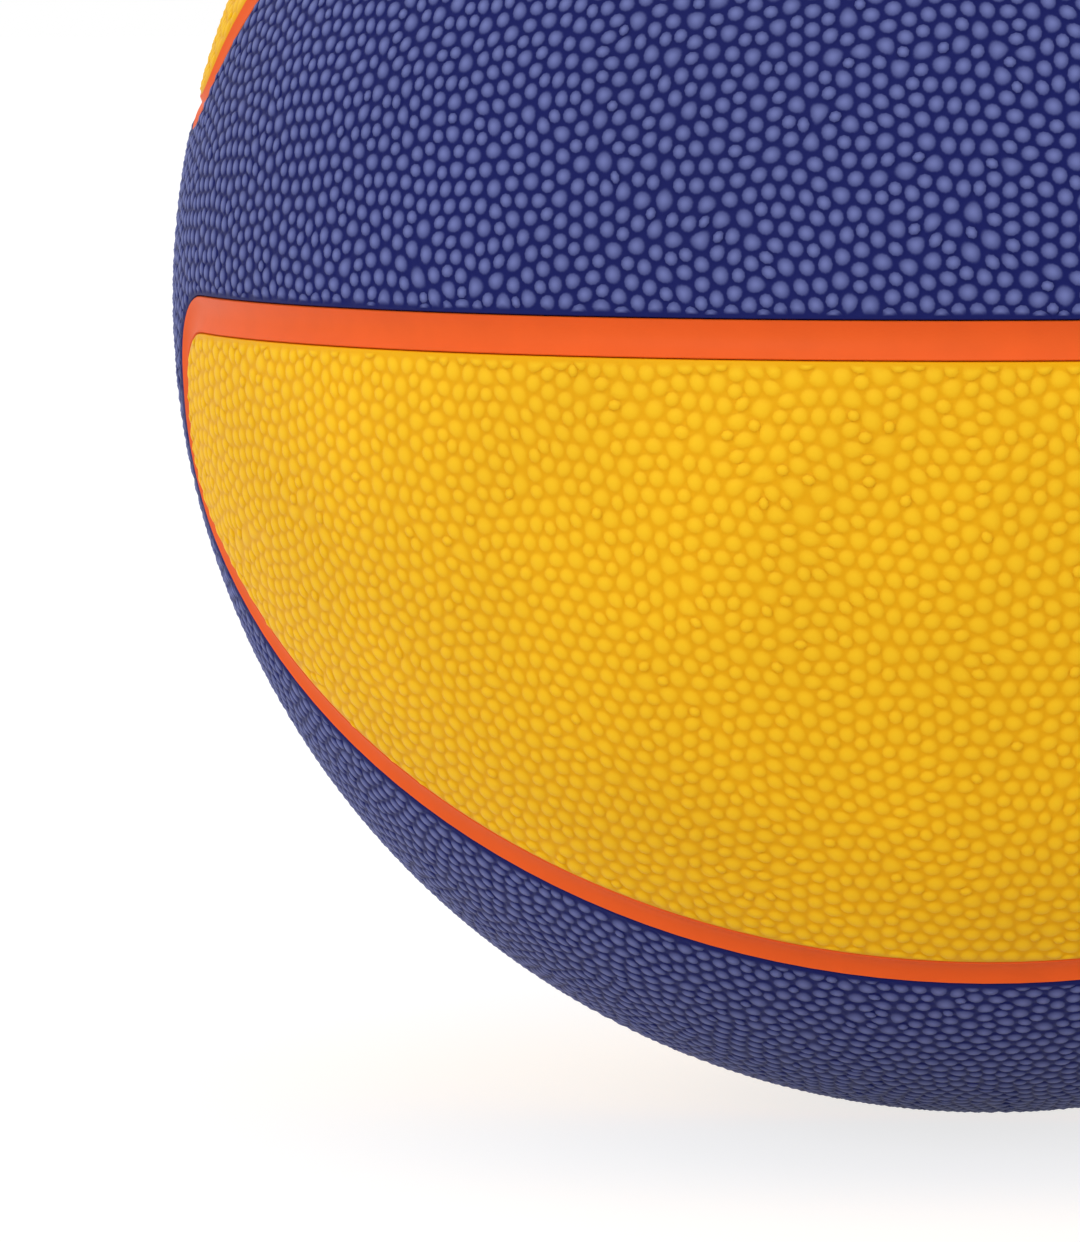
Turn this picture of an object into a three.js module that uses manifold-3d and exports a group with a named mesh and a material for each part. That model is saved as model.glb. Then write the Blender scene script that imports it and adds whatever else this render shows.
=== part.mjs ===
// Basketball with panels that run from side to side, in millimetres, +Z up, origin at its centre.
// The front faces -Y. The panels narrow towards a hub at each side, on +X and on -X.
// Yellow island panels, each ringed by one closed channel, alternate with blue panels that
// widen at both hubs and butt against each other there.

import * as THREE from 'three';
import { mergeVertices } from 'three/addons/utils/BufferGeometryUtils.js';
import Module from 'manifold-3d';

// Ball and cover layout, sizes along the surface unless said otherwise
const BALL_DIAMETER = 231;
const ISLAND_WIDTH = 96.1; // between the two long channels of an island, at the middle
const FRONT_BLUE_SHARE = 0.58; // of the width that the islands leave; top and bottom take the rest
const HUB_RADIUS = 31; // from the hub's centre to the channel at an island's end
const CHANNEL_CORNER_RADIUS = 14; // of the channel's middle line
const CHANNEL_WIDTH = 5.2;
const VALVE_PLACE = 'back';

// Thickness of each layer, outside to inside
const COVER_THICKNESS = 1.6;
const FOAM_THICKNESS = 1.8;
const CARCASS_THICKNESS = 1.6;
const WINDING_THICKNESS = 0.9;
const BLADDER_THICKNESS = 1;

// Edges of the panels and floor of the channels
const EDGE_ROLL_WIDTH = 1.1;
const EDGE_ROLL_DROP = 0.5;
const BUTT_ROLL_WIDTH = 0.4;
const CHANNEL_FLOOR_DEPTH = 1.3; // below the ball's surface, at the middle of the channel
const CHANNEL_SIDE_DEPTH = 0.5; // below the ball's surface, at the sides of the channel

// Clearances between pieces
const LAYER_GAP = 0.3;
const FIT_GAP = 0.3;
const BUTT_GAP = 0.3;

// Valve, diameters and lengths along its own axis
const VALVE_NECK_DIAMETER = 8.4;
const VALVE_FLANGE_DIAMETER = 30;
const VALVE_FLANGE_THICKNESS = 1.4;
const VALVE_PATCH_DIAMETER = 38;
const VALVE_PATCH_THICKNESS = 0.9;
const VALVE_BODY_DIAMETER = 12;
const VALVE_BODY_LENGTH = 9; // inwards from the flange
const VALVE_RECESS = 0.4; // below the ball's surface
const PLUG_HEAD_DIAMETER = 5.4;
const PLUG_HEAD_LENGTH = 2.2;
const PLUG_SHANK_DIAMETER = 3.8;
const PLUG_SHANK_LENGTH = 16;
const NEEDLE_HOLE_DIAMETER = 1.2;
const NEEDLE_HOLE_DEPTH = 12;

// Facet counts
const LONG_EDGE_STEPS = 12;
const CORNER_STEPS = 4;
const ACROSS_STEPS = 4;
const HUB_SIDE_STEPS = 2;
const SHELL_SIDES = 24;
const SHELL_RINGS = 12;

// Finishes, colours in sRGB
const YELLOW_LEATHER = { color: 0xf0b414, roughness: 0.5 };
const BLUE_LEATHER = { color: 0x2c3a8e, roughness: 0.5 };
const ORANGE_RUBBER = { color: 0xe4552a, roughness: 0.45 };
const PALE_FOAM = { color: 0xd8d4ca, roughness: 0.9 };
const CARCASS_RUBBER = { color: 0x26262a, roughness: 0.7 };
const PALE_THREAD = { color: 0xe4ddcc, roughness: 0.8 };
const BUTYL_RUBBER = { color: 0x1c1c1f, roughness: 0.6 };
const PATCH_RUBBER = { color: 0x6d4a32, roughness: 0.7 };

// Radii worked out from the layers
const BALL_RADIUS = BALL_DIAMETER / 2;
const COVER_INSIDE = BALL_RADIUS - COVER_THICKNESS;
const FOAM_OUTSIDE = COVER_INSIDE - LAYER_GAP;
const FOAM_INSIDE = FOAM_OUTSIDE - FOAM_THICKNESS;

// Angles worked out from the layout, in radians
const ISLAND_HALF_TURN = ISLAND_WIDTH / 2 / BALL_RADIUS;
const BLUE_HALF_TURNS = Math.PI / 2 - 2 * ISLAND_HALF_TURN; // of a front and a top panel together
const FRONT_BLUE_HALF_TURN = BLUE_HALF_TURNS * FRONT_BLUE_SHARE;
const TOP_BLUE_HALF_TURN = BLUE_HALF_TURNS - FRONT_BLUE_HALF_TURN;
const TOP_TURN = 2 * (FRONT_BLUE_HALF_TURN + ISLAND_HALF_TURN);
const HUB_ANGLE = HUB_RADIUS / BALL_RADIUS;
const CORNER_ANGLE = CHANNEL_CORNER_RADIUS / BALL_RADIUS;

// Where an island's upper channel lies, as a turn about the hub axis, and the blue panel above it
const PLACES = [
  { place: 'front', turn: 0, blueHalfTurn: FRONT_BLUE_HALF_TURN },
  { place: 'top', turn: TOP_TURN, blueHalfTurn: TOP_BLUE_HALF_TURN },
  { place: 'back', turn: Math.PI, blueHalfTurn: FRONT_BLUE_HALF_TURN },
  { place: 'bottom', turn: Math.PI + TOP_TURN, blueHalfTurn: TOP_BLUE_HALF_TURN },
];

// The flat facets of the foam sag below its true radius, and the carcass stays clear of them
const LONG_FACET = (Math.PI - 2 * (HUB_ANGLE + CORNER_ANGLE)) / LONG_EDGE_STEPS;
const WIDEST_TURN = 2 * Math.max(ISLAND_HALF_TURN, FRONT_BLUE_HALF_TURN, TOP_BLUE_HALF_TURN);
const FACET_REACH = Math.hypot(LONG_FACET, WIDEST_TURN / ACROSS_STEPS) / 2;
const FACET_SAG = FOAM_INSIDE * (1 - Math.cos(FACET_REACH));
const CARCASS_OUTSIDE = FOAM_INSIDE - FACET_SAG - LAYER_GAP;
const CARCASS_INSIDE = CARCASS_OUTSIDE - CARCASS_THICKNESS;
const WINDING_OUTSIDE = CARCASS_INSIDE - LAYER_GAP;
const WINDING_INSIDE = WINDING_OUTSIDE - WINDING_THICKNESS;
const BLADDER_OUTSIDE = WINDING_INSIDE - LAYER_GAP;
const BLADDER_INSIDE = BLADDER_OUTSIDE - BLADDER_THICKNESS;

const wasm = await Module();
wasm.setup();

const HUB_AXIS = new THREE.Vector3(1, 0, 0);

// Direction at an angle from the hub on +X and a turn about the hub axis, front 0 and top a quarter
function direction(fromHub, turn) {
  const reach = Math.sin(fromHub);
  return new THREE.Vector3(Math.cos(fromHub), -reach * Math.cos(turn), reach * Math.sin(turn));
}

function turnOf(point) {
  return Math.atan2(point.z, -point.y);
}

// Direction along the surface at a point, towards another point
function heading(from, to) {
  return to.clone().addScaledVector(from, -to.dot(from)).normalize();
}

// A point of the channel's middle line, with the direction along the surface out of the island
function channelPoint(centre, radius, towards) {
  const at = centre.clone().multiplyScalar(Math.cos(radius)).addScaledVector(towards, Math.sin(radius));
  const out = centre.clone().multiplyScalar(-Math.sin(radius)).addScaledVector(towards, Math.cos(radius));
  return { at, out };
}

// The same point moved along the surface, out of the island when the distance is positive
function moved({ at, out }, distance) {
  const angle = distance / BALL_RADIUS;
  return at.clone().multiplyScalar(Math.cos(angle)).addScaledVector(out, Math.sin(angle));
}

function flipped({ at, out }, axis) {
  const flip = (vector) => {
    const copy = vector.clone();
    copy[axis] = -copy[axis];
    return copy;
  };
  return { at: flip(at), out: flip(out) };
}

function turned({ at, out }, turn) {
  const rotate = (vector) => vector.clone().applyAxisAngle(HUB_AXIS, -turn);
  return { at: rotate(at), out: rotate(out) };
}

// Middle line of the channel on the upper side of an island whose middle is at the front,
// from the end at the +X hub, round the corner, along the island and round to the -X end
function islandSide() {
  const bendFromHub = HUB_ANGLE + CORNER_ANGLE;
  const bendTurn = ISLAND_HALF_TURN - Math.asin(Math.sin(CORNER_ANGLE) / Math.sin(bendFromHub));
  const bend = direction(bendFromHub, bendTurn);
  const sideways = direction(Math.PI / 2, ISLAND_HALF_TURN + Math.PI / 2);
  const toHub = heading(bend, HUB_AXIS);
  const toSide = heading(bend, sideways);
  const sweep = toHub.angleTo(toSide);
  const corner = [];
  for (let step = 0; step <= CORNER_STEPS; step++) {
    const angle = (sweep * step) / CORNER_STEPS;
    const towards = toHub.clone().multiplyScalar(Math.sin(sweep - angle));
    towards.addScaledVector(toSide, Math.sin(angle)).normalize();
    corner.push(channelPoint(bend, CORNER_ANGLE, towards));
  }
  const edgeStart = Math.acos(corner[CORNER_STEPS].at.x);
  const edge = [];
  for (let step = 1; step < LONG_EDGE_STEPS; step++) {
    const fromHub = edgeStart + ((Math.PI - 2 * edgeStart) * step) / LONG_EDGE_STEPS;
    edge.push({ at: direction(fromHub, ISLAND_HALF_TURN), out: sideways });
  }
  const farCorner = corner.map((point) => flipped(point, 'x')).reverse();
  return [...corner, ...edge, ...farCorner];
}

const ISLAND_SIDE = islandSide();
const LAST_ROW = ISLAND_SIDE.length - 1;

// One row of points across a panel, from an upper edge point to its mirror image below
function rowAcross(edgePoint) {
  const fromHub = Math.acos(edgePoint.x);
  const turn = turnOf(edgePoint);
  const row = [];
  for (let step = 0; step <= ACROSS_STEPS; step++) {
    row.push(direction(fromHub, turn * (1 - (2 * step) / ACROSS_STEPS)));
  }
  return row;
}

// Indices of one row of a panel's grid of points
const ROW_WIDTH = ACROSS_STEPS + 1;
function rowIndices(row) {
  return Array.from({ length: ROW_WIDTH }, (_, column) => row * ROW_WIDTH + column);
}

// Two triangles for each cell of a panel's grid of points
function gridFaces() {
  const faces = [];
  for (let row = 0; row < LAST_ROW; row++) {
    const near = rowIndices(row);
    const far = rowIndices(row + 1);
    for (let column = 0; column < ACROSS_STEPS; column++) {
      faces.push([near[column], near[column + 1], far[column]]);
      faces.push([near[column + 1], far[column + 1], far[column]]);
    }
  }
  return faces;
}

// Ring of indices round a panel: its +X end, its lower side, its -X end and its upper side,
// where both ends are given from the upper side to the lower
function panelRim(nearEnd, farEnd) {
  const lowerSide = [];
  for (let row = 1; row < LAST_ROW; row++) lowerSide.push(rowIndices(row)[ACROSS_STEPS]);
  const upperSide = [];
  for (let row = LAST_ROW - 1; row > 0; row--) upperSide.push(rowIndices(row)[0]);
  return [...nearEnd, ...lowerSide, ...farEnd.reverse(), ...upperSide];
}

// Surface of an island panel whose edge lies at a distance from the channel's middle line
function islandSurface(fromChannel) {
  const points = ISLAND_SIDE.flatMap((point) => rowAcross(moved(point, -fromChannel)));
  return { points, faces: gridFaces(), rim: panelRim(rowIndices(0), rowIndices(LAST_ROW)) };
}

// The part of a blue panel inside the +X hub: two arcs of points and the tip at the hub's centre,
// clear of the next blue panels, which it meets at a half turn from its own middle
function hubPoints(edgeRow, meetHalfTurn, buttClearance) {
  const clearance = Math.sin(buttClearance / BALL_RADIUS);
  const clearHalfTurn = (fromHub) => meetHalfTurn - Math.asin(clearance / Math.sin(fromHub));
  const outer = Math.acos(edgeRow[0].x);
  const neck = turnOf(edgeRow[0]);
  const reach = clearHalfTurn(outer);
  const turns = [];
  for (let step = 0; step < HUB_SIDE_STEPS; step++) {
    turns.push(reach + ((neck - reach) * step) / HUB_SIDE_STEPS);
  }
  const sideTurns = [turns, turns.map((turn) => -turn).reverse()];
  const arcTurns = [...turns, ...edgeRow.map(turnOf), ...sideTurns[1]];
  const inner = outer / 2;
  const innerShare = clearHalfTurn(inner) / reach;
  const sides = sideTurns.map((side) => side.map((turn) => direction(outer, turn)));
  const innerArc = arcTurns.map((turn) => direction(inner, turn * innerShare));
  const tipAngle = Math.asin(clearance / Math.sin(meetHalfTurn));
  return { sides, innerArc, tip: direction(tipAngle, 0) };
}

// Surface of a blue panel: a waist between two islands and a wide end in each hub
function blueSurface(halfTurn, fromChannel, buttClearance) {
  const meetHalfTurn = halfTurn + ISLAND_HALF_TURN;
  const side = ISLAND_SIDE.map((point) => turned(flipped(point, 'z'), meetHalfTurn));
  const rows = side.map((point) => rowAcross(moved(point, fromChannel)));
  const points = rows.flat();
  const faces = gridFaces();
  const hub = hubPoints(rows[0], meetHalfTurn, buttClearance);
  const addEnd = (side, neck) => {
    const place = (point) => points.push(point.clone().setX(point.x * side)) - 1;
    const upper = hub.sides[0].map(place);
    const lower = hub.sides[1].map(place);
    const outer = [...upper, ...neck, ...lower];
    const inner = hub.innerArc.map(place);
    const tip = place(hub.tip);
    for (let step = 0; step + 1 < outer.length; step++) {
      const corners = [
        [outer[step], inner[step], outer[step + 1]],
        [inner[step], inner[step + 1], outer[step + 1]],
        [inner[step], tip, inner[step + 1]],
      ];
      faces.push(...corners.map((face) => (side > 0 ? face : face.reverse())));
    }
    const upperRim = [neck[0], ...upper.reverse(), inner[0]];
    const lowerRim = [inner[inner.length - 1], ...lower.reverse(), neck[ACROSS_STEPS]];
    return [...upperRim, tip, ...lowerRim];
  };
  const nearEnd = addEnd(1, rowIndices(0));
  const farEnd = addEnd(-1, rowIndices(LAST_ROW));
  return { points, faces, rim: panelRim(nearEnd, farEnd) };
}

// Geometry from points and triangles, with the faces turned to point out
function closedGeometry(points, faces) {
  const volume = faces.reduce((sum, [a, b, c]) => {
    return sum + points[a].dot(points[b].clone().cross(points[c]));
  }, 0);
  const index = faces.flatMap((face) => (volume < 0 ? [face[0], face[2], face[1]] : face));
  const geometry = new THREE.BufferGeometry().setFromPoints(points);
  geometry.setIndex(index);
  geometry.computeVertexNormals();
  return geometry;
}

// Solid between the first and the last of several surfaces of one pattern, each at its own radius,
// whose wall follows the rims of all of them
function layeredGeometry(layers) {
  const points = [];
  const faces = [];
  const rims = layers.map(({ surface, radius }, level) => {
    const start = points.length;
    const isOuter = level === 0;
    const isInner = level === layers.length - 1;
    const kept = isOuter || isInner ? surface.points : surface.rim.map((at) => surface.points[at]);
    points.push(...kept.map((point) => point.clone().multiplyScalar(radius)));
    if (isOuter) faces.push(...surface.faces);
    if (isInner) faces.push(...surface.faces.map(([a, b, c]) => [start + a, start + c, start + b]));
    return surface.rim.map((at, step) => start + (isOuter || isInner ? at : step));
  });
  for (let level = 0; level + 1 < rims.length; level++) {
    addWall(faces, rims[level], rims[level + 1]);
  }
  return closedGeometry(points, faces);
}

// Triangles between two closed rings of as many points, the first ring outside
function addWall(faces, ring, nextRing) {
  for (let step = 0; step < ring.length; step++) {
    const after = (step + 1) % ring.length;
    faces.push([ring[step], nextRing[step], ring[after]]);
    faces.push([ring[after], nextRing[step], nextRing[after]]);
  }
}

const HALF_CHANNEL = CHANNEL_WIDTH / 2;
const HALF_BUTT = BUTT_GAP / 2;
const ROLLED_CHANNEL = HALF_CHANNEL + EDGE_ROLL_WIDTH;
const ROLLED_BUTT = HALF_BUTT + BUTT_ROLL_WIDTH;

// A cover panel has a rolled edge above a square one
function coverLayers(surfaceAt) {
  const edge = surfaceAt(HALF_CHANNEL, HALF_BUTT);
  return [
    { surface: surfaceAt(ROLLED_CHANNEL, ROLLED_BUTT), radius: BALL_RADIUS },
    { surface: edge, radius: BALL_RADIUS - EDGE_ROLL_DROP },
    { surface: edge, radius: COVER_INSIDE },
  ];
}

// A foam pad lies under the whole of its panel
function foamLayers(surfaceAt) {
  const edge = surfaceAt(HALF_CHANNEL, HALF_BUTT);
  return [
    { surface: edge, radius: FOAM_OUTSIDE },
    { surface: edge, radius: FOAM_INSIDE },
  ];
}

// Closed rubber strip round an island, with a dished floor, that stands on the carcass
function channelStripGeometry() {
  const reach = HALF_CHANNEL - FIT_GAP;
  const sideRadius = BALL_RADIUS - CHANNEL_SIDE_DEPTH;
  const section = [
    { across: -reach, radius: FOAM_INSIDE },
    { across: -reach, radius: sideRadius },
    { across: 0, radius: BALL_RADIUS - CHANNEL_FLOOR_DEPTH },
    { across: reach, radius: sideRadius },
    { across: reach, radius: FOAM_INSIDE },
  ];
  const path = (across) => {
    const surface = islandSurface(-across);
    return surface.rim.map((at) => surface.points[at]);
  };
  const rings = section.map(({ across, radius }) => path(across).map((at) => at.multiplyScalar(radius)));
  const points = rings.flat();
  const faces = [];
  const count = rings[0].length;
  rings.forEach((ring, level) => {
    const nextLevel = (level + 1) % rings.length;
    const indices = ring.map((_, step) => level * count + step);
    addWall(faces, indices, indices.map((_, step) => nextLevel * count + step));
  });
  return closedGeometry(points, faces);
}

// Turned solid about the valve axis from points of radius and distance from the ball's centre
function turnedGeometry(profile, closes) {
  const outline = profile.map(([radius, outwards]) => new THREE.Vector2(radius, -outwards));
  if (closes) outline.push(outline[0].clone());
  const lathe = new THREE.LatheGeometry(outline, SHELL_SIDES);
  lathe.deleteAttribute('normal');
  lathe.deleteAttribute('uv');
  const welded = mergeVertices(lathe);
  const position = welded.getAttribute('position');
  const points = Array.from({ length: position.count }, (_, at) => {
    return new THREE.Vector3().fromBufferAttribute(position, at);
  });
  const index = Array.from(welded.index.array);
  const faces = [];
  for (let at = 0; at < index.length; at += 3) {
    const face = index.slice(at, at + 3);
    if (new Set(face).size === face.length) faces.push(face);
  }
  return closedGeometry(points, faces);
}

// Point on a sphere about the ball's centre, at a distance from the valve axis
function onSphere(radius, fromAxis) {
  return [fromAxis, Math.sqrt(radius * radius - fromAxis * fromAxis)];
}

const NECK_RADIUS = VALVE_NECK_DIAMETER / 2;
const NECK_HOLE_RADIUS = NECK_RADIUS + FIT_GAP;
const FLANGE_RADIUS = VALVE_FLANGE_DIAMETER / 2;
const PATCH_RADIUS = VALVE_PATCH_DIAMETER / 2;

// Points of a round shell from the rim of the valve hole, past the patch, to the far side
function shellArc(radius) {
  const patchAngle = Math.asin(PATCH_RADIUS / radius);
  const arc = [onSphere(radius, NECK_HOLE_RADIUS)];
  for (let ring = 0; ring < SHELL_RINGS; ring++) {
    const angle = patchAngle + ((Math.PI - patchAngle) * ring) / SHELL_RINGS;
    arc.push([radius * Math.sin(angle), radius * Math.cos(angle)]);
  }
  arc.push([0, -radius]);
  return arc;
}

function shellGeometry(outside, inside) {
  return turnedGeometry([...shellArc(inside).reverse(), ...shellArc(outside)], false);
}

const PATCH_OUTSIDE = BLADDER_INSIDE - LAYER_GAP;
const PATCH_INSIDE = PATCH_OUTSIDE - VALVE_PATCH_THICKNESS;
const FLANGE_OUTSIDE = PATCH_INSIDE - LAYER_GAP;
const VALVE_FACE = BALL_RADIUS - VALVE_RECESS;

// Reinforcing washer between the bladder and the valve's flange
function valvePatchGeometry() {
  const profile = [
    onSphere(PATCH_OUTSIDE, NECK_HOLE_RADIUS),
    onSphere(PATCH_OUTSIDE, PATCH_RADIUS),
    onSphere(PATCH_INSIDE, PATCH_RADIUS),
    onSphere(PATCH_INSIDE, NECK_HOLE_RADIUS),
  ];
  return turnedGeometry(profile, true);
}

const PLUG_SEAT = VALVE_FACE - PLUG_HEAD_LENGTH - FIT_GAP;

// Rubber valve with a neck out to the cover, a flange under the patch and a body inside the ball
function valveHousingGeometry() {
  const headHole = PLUG_HEAD_DIAMETER / 2 + FIT_GAP;
  const shankHole = PLUG_SHANK_DIAMETER / 2 + FIT_GAP;
  const [, flangeEdge] = onSphere(FLANGE_OUTSIDE, FLANGE_RADIUS);
  const flangeBack = flangeEdge - VALVE_FLANGE_THICKNESS;
  const bodyRadius = VALVE_BODY_DIAMETER / 2;
  const bodyEnd = flangeBack - VALVE_BODY_LENGTH;
  const profile = [
    [headHole, VALVE_FACE],
    [NECK_RADIUS, VALVE_FACE],
    onSphere(FLANGE_OUTSIDE, NECK_RADIUS),
    [FLANGE_RADIUS, flangeEdge],
    [FLANGE_RADIUS, flangeBack],
    [bodyRadius, flangeBack],
    [bodyRadius, bodyEnd],
    [shankHole, bodyEnd],
    [shankHole, PLUG_SEAT],
    [headHole, PLUG_SEAT],
  ];
  return turnedGeometry(profile, true);
}

// Self-sealing plug with a head and a blind needle hole down its middle
function valvePlugGeometry() {
  const headRadius = PLUG_HEAD_DIAMETER / 2;
  const shankRadius = PLUG_SHANK_DIAMETER / 2;
  const needleRadius = NEEDLE_HOLE_DIAMETER / 2;
  const headBack = VALVE_FACE - PLUG_HEAD_LENGTH;
  const profile = [
    [0, VALVE_FACE - NEEDLE_HOLE_DEPTH],
    [needleRadius, VALVE_FACE - NEEDLE_HOLE_DEPTH],
    [needleRadius, VALVE_FACE],
    [headRadius, VALVE_FACE],
    [headRadius, headBack],
    [shankRadius, headBack],
    [shankRadius, headBack - PLUG_SHANK_LENGTH],
    [0, headBack - PLUG_SHANK_LENGTH],
  ];
  return turnedGeometry(profile, false);
}

function toManifold(geometry) {
  const bare = geometry.clone();
  bare.deleteAttribute('normal');
  bare.deleteAttribute('uv');
  const welded = mergeVertices(bare);
  return new wasm.Manifold(new wasm.Mesh({
    numProp: 3,
    vertProperties: welded.getAttribute('position').array,
    triVerts: new Uint32Array(welded.index.array),
  }));
}

// A panel or pad with the round hole that the valve's neck passes through
function withValveHole(geometry) {
  const cutter = new THREE.CylinderGeometry(
    NECK_HOLE_RADIUS, NECK_HOLE_RADIUS, BALL_RADIUS, SHELL_SIDES,
  );
  cutter.translate(0, -BALL_RADIUS, 0);
  const mesh = toManifold(geometry).subtract(toManifold(cutter)).getMesh();
  const cut = new THREE.BufferGeometry();
  const corners = new Float32Array(mesh.vertProperties);
  cut.setAttribute('position', new THREE.BufferAttribute(corners, mesh.numProp));
  cut.setIndex(Array.from(mesh.triVerts));
  cut.computeVertexNormals();
  return cut;
}

function piece(name, geometry, finish) {
  const mesh = new THREE.Mesh(geometry, new THREE.MeshStandardMaterial({ ...finish, metalness: 0 }));
  mesh.name = name;
  return mesh;
}

const ball = new THREE.Group();

const islandCover = layeredGeometry(coverLayers(islandSurface));
const islandFoam = layeredGeometry(foamLayers(islandSurface));
const channelStrip = channelStripGeometry();

PLACES.forEach(({ place, turn, blueHalfTurn }) => {
  // An island with its upper channel at the front, the top, the back or the bottom
  const island = new THREE.Group();
  island.rotation.x = ISLAND_HALF_TURN - turn;
  island.add(piece(`yellow_panel_${place}`, islandCover, YELLOW_LEATHER));
  island.add(piece(`yellow_foam_${place}`, islandFoam, PALE_FOAM));
  island.add(piece(`channel_strip_${place}`, channelStrip, ORANGE_RUBBER));
  ball.add(island);

  // The blue panel above that channel
  const blue = new THREE.Group();
  blue.rotation.x = -(turn + blueHalfTurn);
  const surfaceAt = (...clearances) => blueSurface(blueHalfTurn, ...clearances);
  const cover = layeredGeometry(coverLayers(surfaceAt));
  const foam = layeredGeometry(foamLayers(surfaceAt));
  const hasValve = place === VALVE_PLACE;
  blue.add(piece(`blue_panel_${place}`, hasValve ? withValveHole(cover) : cover, BLUE_LEATHER));
  blue.add(piece(`blue_foam_${place}`, hasValve ? withValveHole(foam) : foam, PALE_FOAM));
  if (hasValve) {
    blue.add(piece('carcass', shellGeometry(CARCASS_OUTSIDE, CARCASS_INSIDE), CARCASS_RUBBER));
    blue.add(piece('thread_winding', shellGeometry(WINDING_OUTSIDE, WINDING_INSIDE), PALE_THREAD));
    blue.add(piece('bladder', shellGeometry(BLADDER_OUTSIDE, BLADDER_INSIDE), BUTYL_RUBBER));
    blue.add(piece('valve_patch', valvePatchGeometry(), PATCH_RUBBER));
    blue.add(piece('valve_housing', valveHousingGeometry(), BUTYL_RUBBER));
    blue.add(piece('valve_plug', valvePlugGeometry(), BUTYL_RUBBER));
  }
  ball.add(blue);
});

export default ball;
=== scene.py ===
"""Basketball with a pebbled yellow and blue leather cover, dressed around its solid model."""

import math

import bpy
import numpy as np
from bpy.props import FloatProperty, FloatVectorProperty, IntProperty, PointerProperty
from bpy.types import Operator, Panel, PropertyGroup
from mathutils import Euler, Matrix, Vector


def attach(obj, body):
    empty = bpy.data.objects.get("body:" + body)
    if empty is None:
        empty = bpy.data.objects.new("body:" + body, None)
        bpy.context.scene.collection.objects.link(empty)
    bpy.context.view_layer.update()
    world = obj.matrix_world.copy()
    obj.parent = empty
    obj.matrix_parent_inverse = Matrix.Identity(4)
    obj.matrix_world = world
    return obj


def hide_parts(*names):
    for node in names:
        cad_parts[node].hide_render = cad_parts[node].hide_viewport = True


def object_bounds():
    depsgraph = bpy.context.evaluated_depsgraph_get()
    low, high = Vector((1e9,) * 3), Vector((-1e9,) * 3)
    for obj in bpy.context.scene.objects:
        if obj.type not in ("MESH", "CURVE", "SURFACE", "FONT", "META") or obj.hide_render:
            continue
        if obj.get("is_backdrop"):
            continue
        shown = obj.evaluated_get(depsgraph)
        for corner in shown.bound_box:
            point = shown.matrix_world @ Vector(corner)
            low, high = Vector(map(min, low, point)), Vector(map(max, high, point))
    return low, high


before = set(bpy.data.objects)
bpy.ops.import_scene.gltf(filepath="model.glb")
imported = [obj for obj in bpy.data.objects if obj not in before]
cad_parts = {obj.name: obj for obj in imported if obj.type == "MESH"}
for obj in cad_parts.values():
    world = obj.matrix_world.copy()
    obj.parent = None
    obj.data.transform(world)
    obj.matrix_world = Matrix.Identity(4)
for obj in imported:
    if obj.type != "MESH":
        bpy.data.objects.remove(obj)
CAD_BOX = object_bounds()

bl_info = {
    "name": "Pebbled basketball",
    "version": (1, 0, 0),
    "blender": (4, 5, 0),
    "location": "View3D > Sidebar > Basketball",
    "description": "Models the cover, channels and valve of a basketball",
    "category": "Object",
}

MM = 0.001
VALVE_PLACE = "back"


# Settings


def linear(code):
    """Linear colour with full alpha from an sRGB hex code."""
    shares = [int(code[at : at + 2], 16) / 255 for at in (0, 2, 4)]
    curve = [s / 12.92 if s <= 0.04045 else ((s + 0.055) / 1.055) ** 2.4 for s in shares]
    return (*curve, 1.0)


def length(name, description, millimetres):
    """A length that a user may change."""
    return FloatProperty(
        name=name, description=description, default=millimetres * MM, min=0, unit="LENGTH", precision=5
    )


def colour(name, description, code):
    """A colour that a user may change."""
    return FloatVectorProperty(
        name=name, description=description, default=linear(code), size=4, min=0, max=1, subtype="COLOR"
    )


BALL_DIAMETER = round((CAD_BOX[1].x - CAD_BOX[0].x) / MM)


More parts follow.
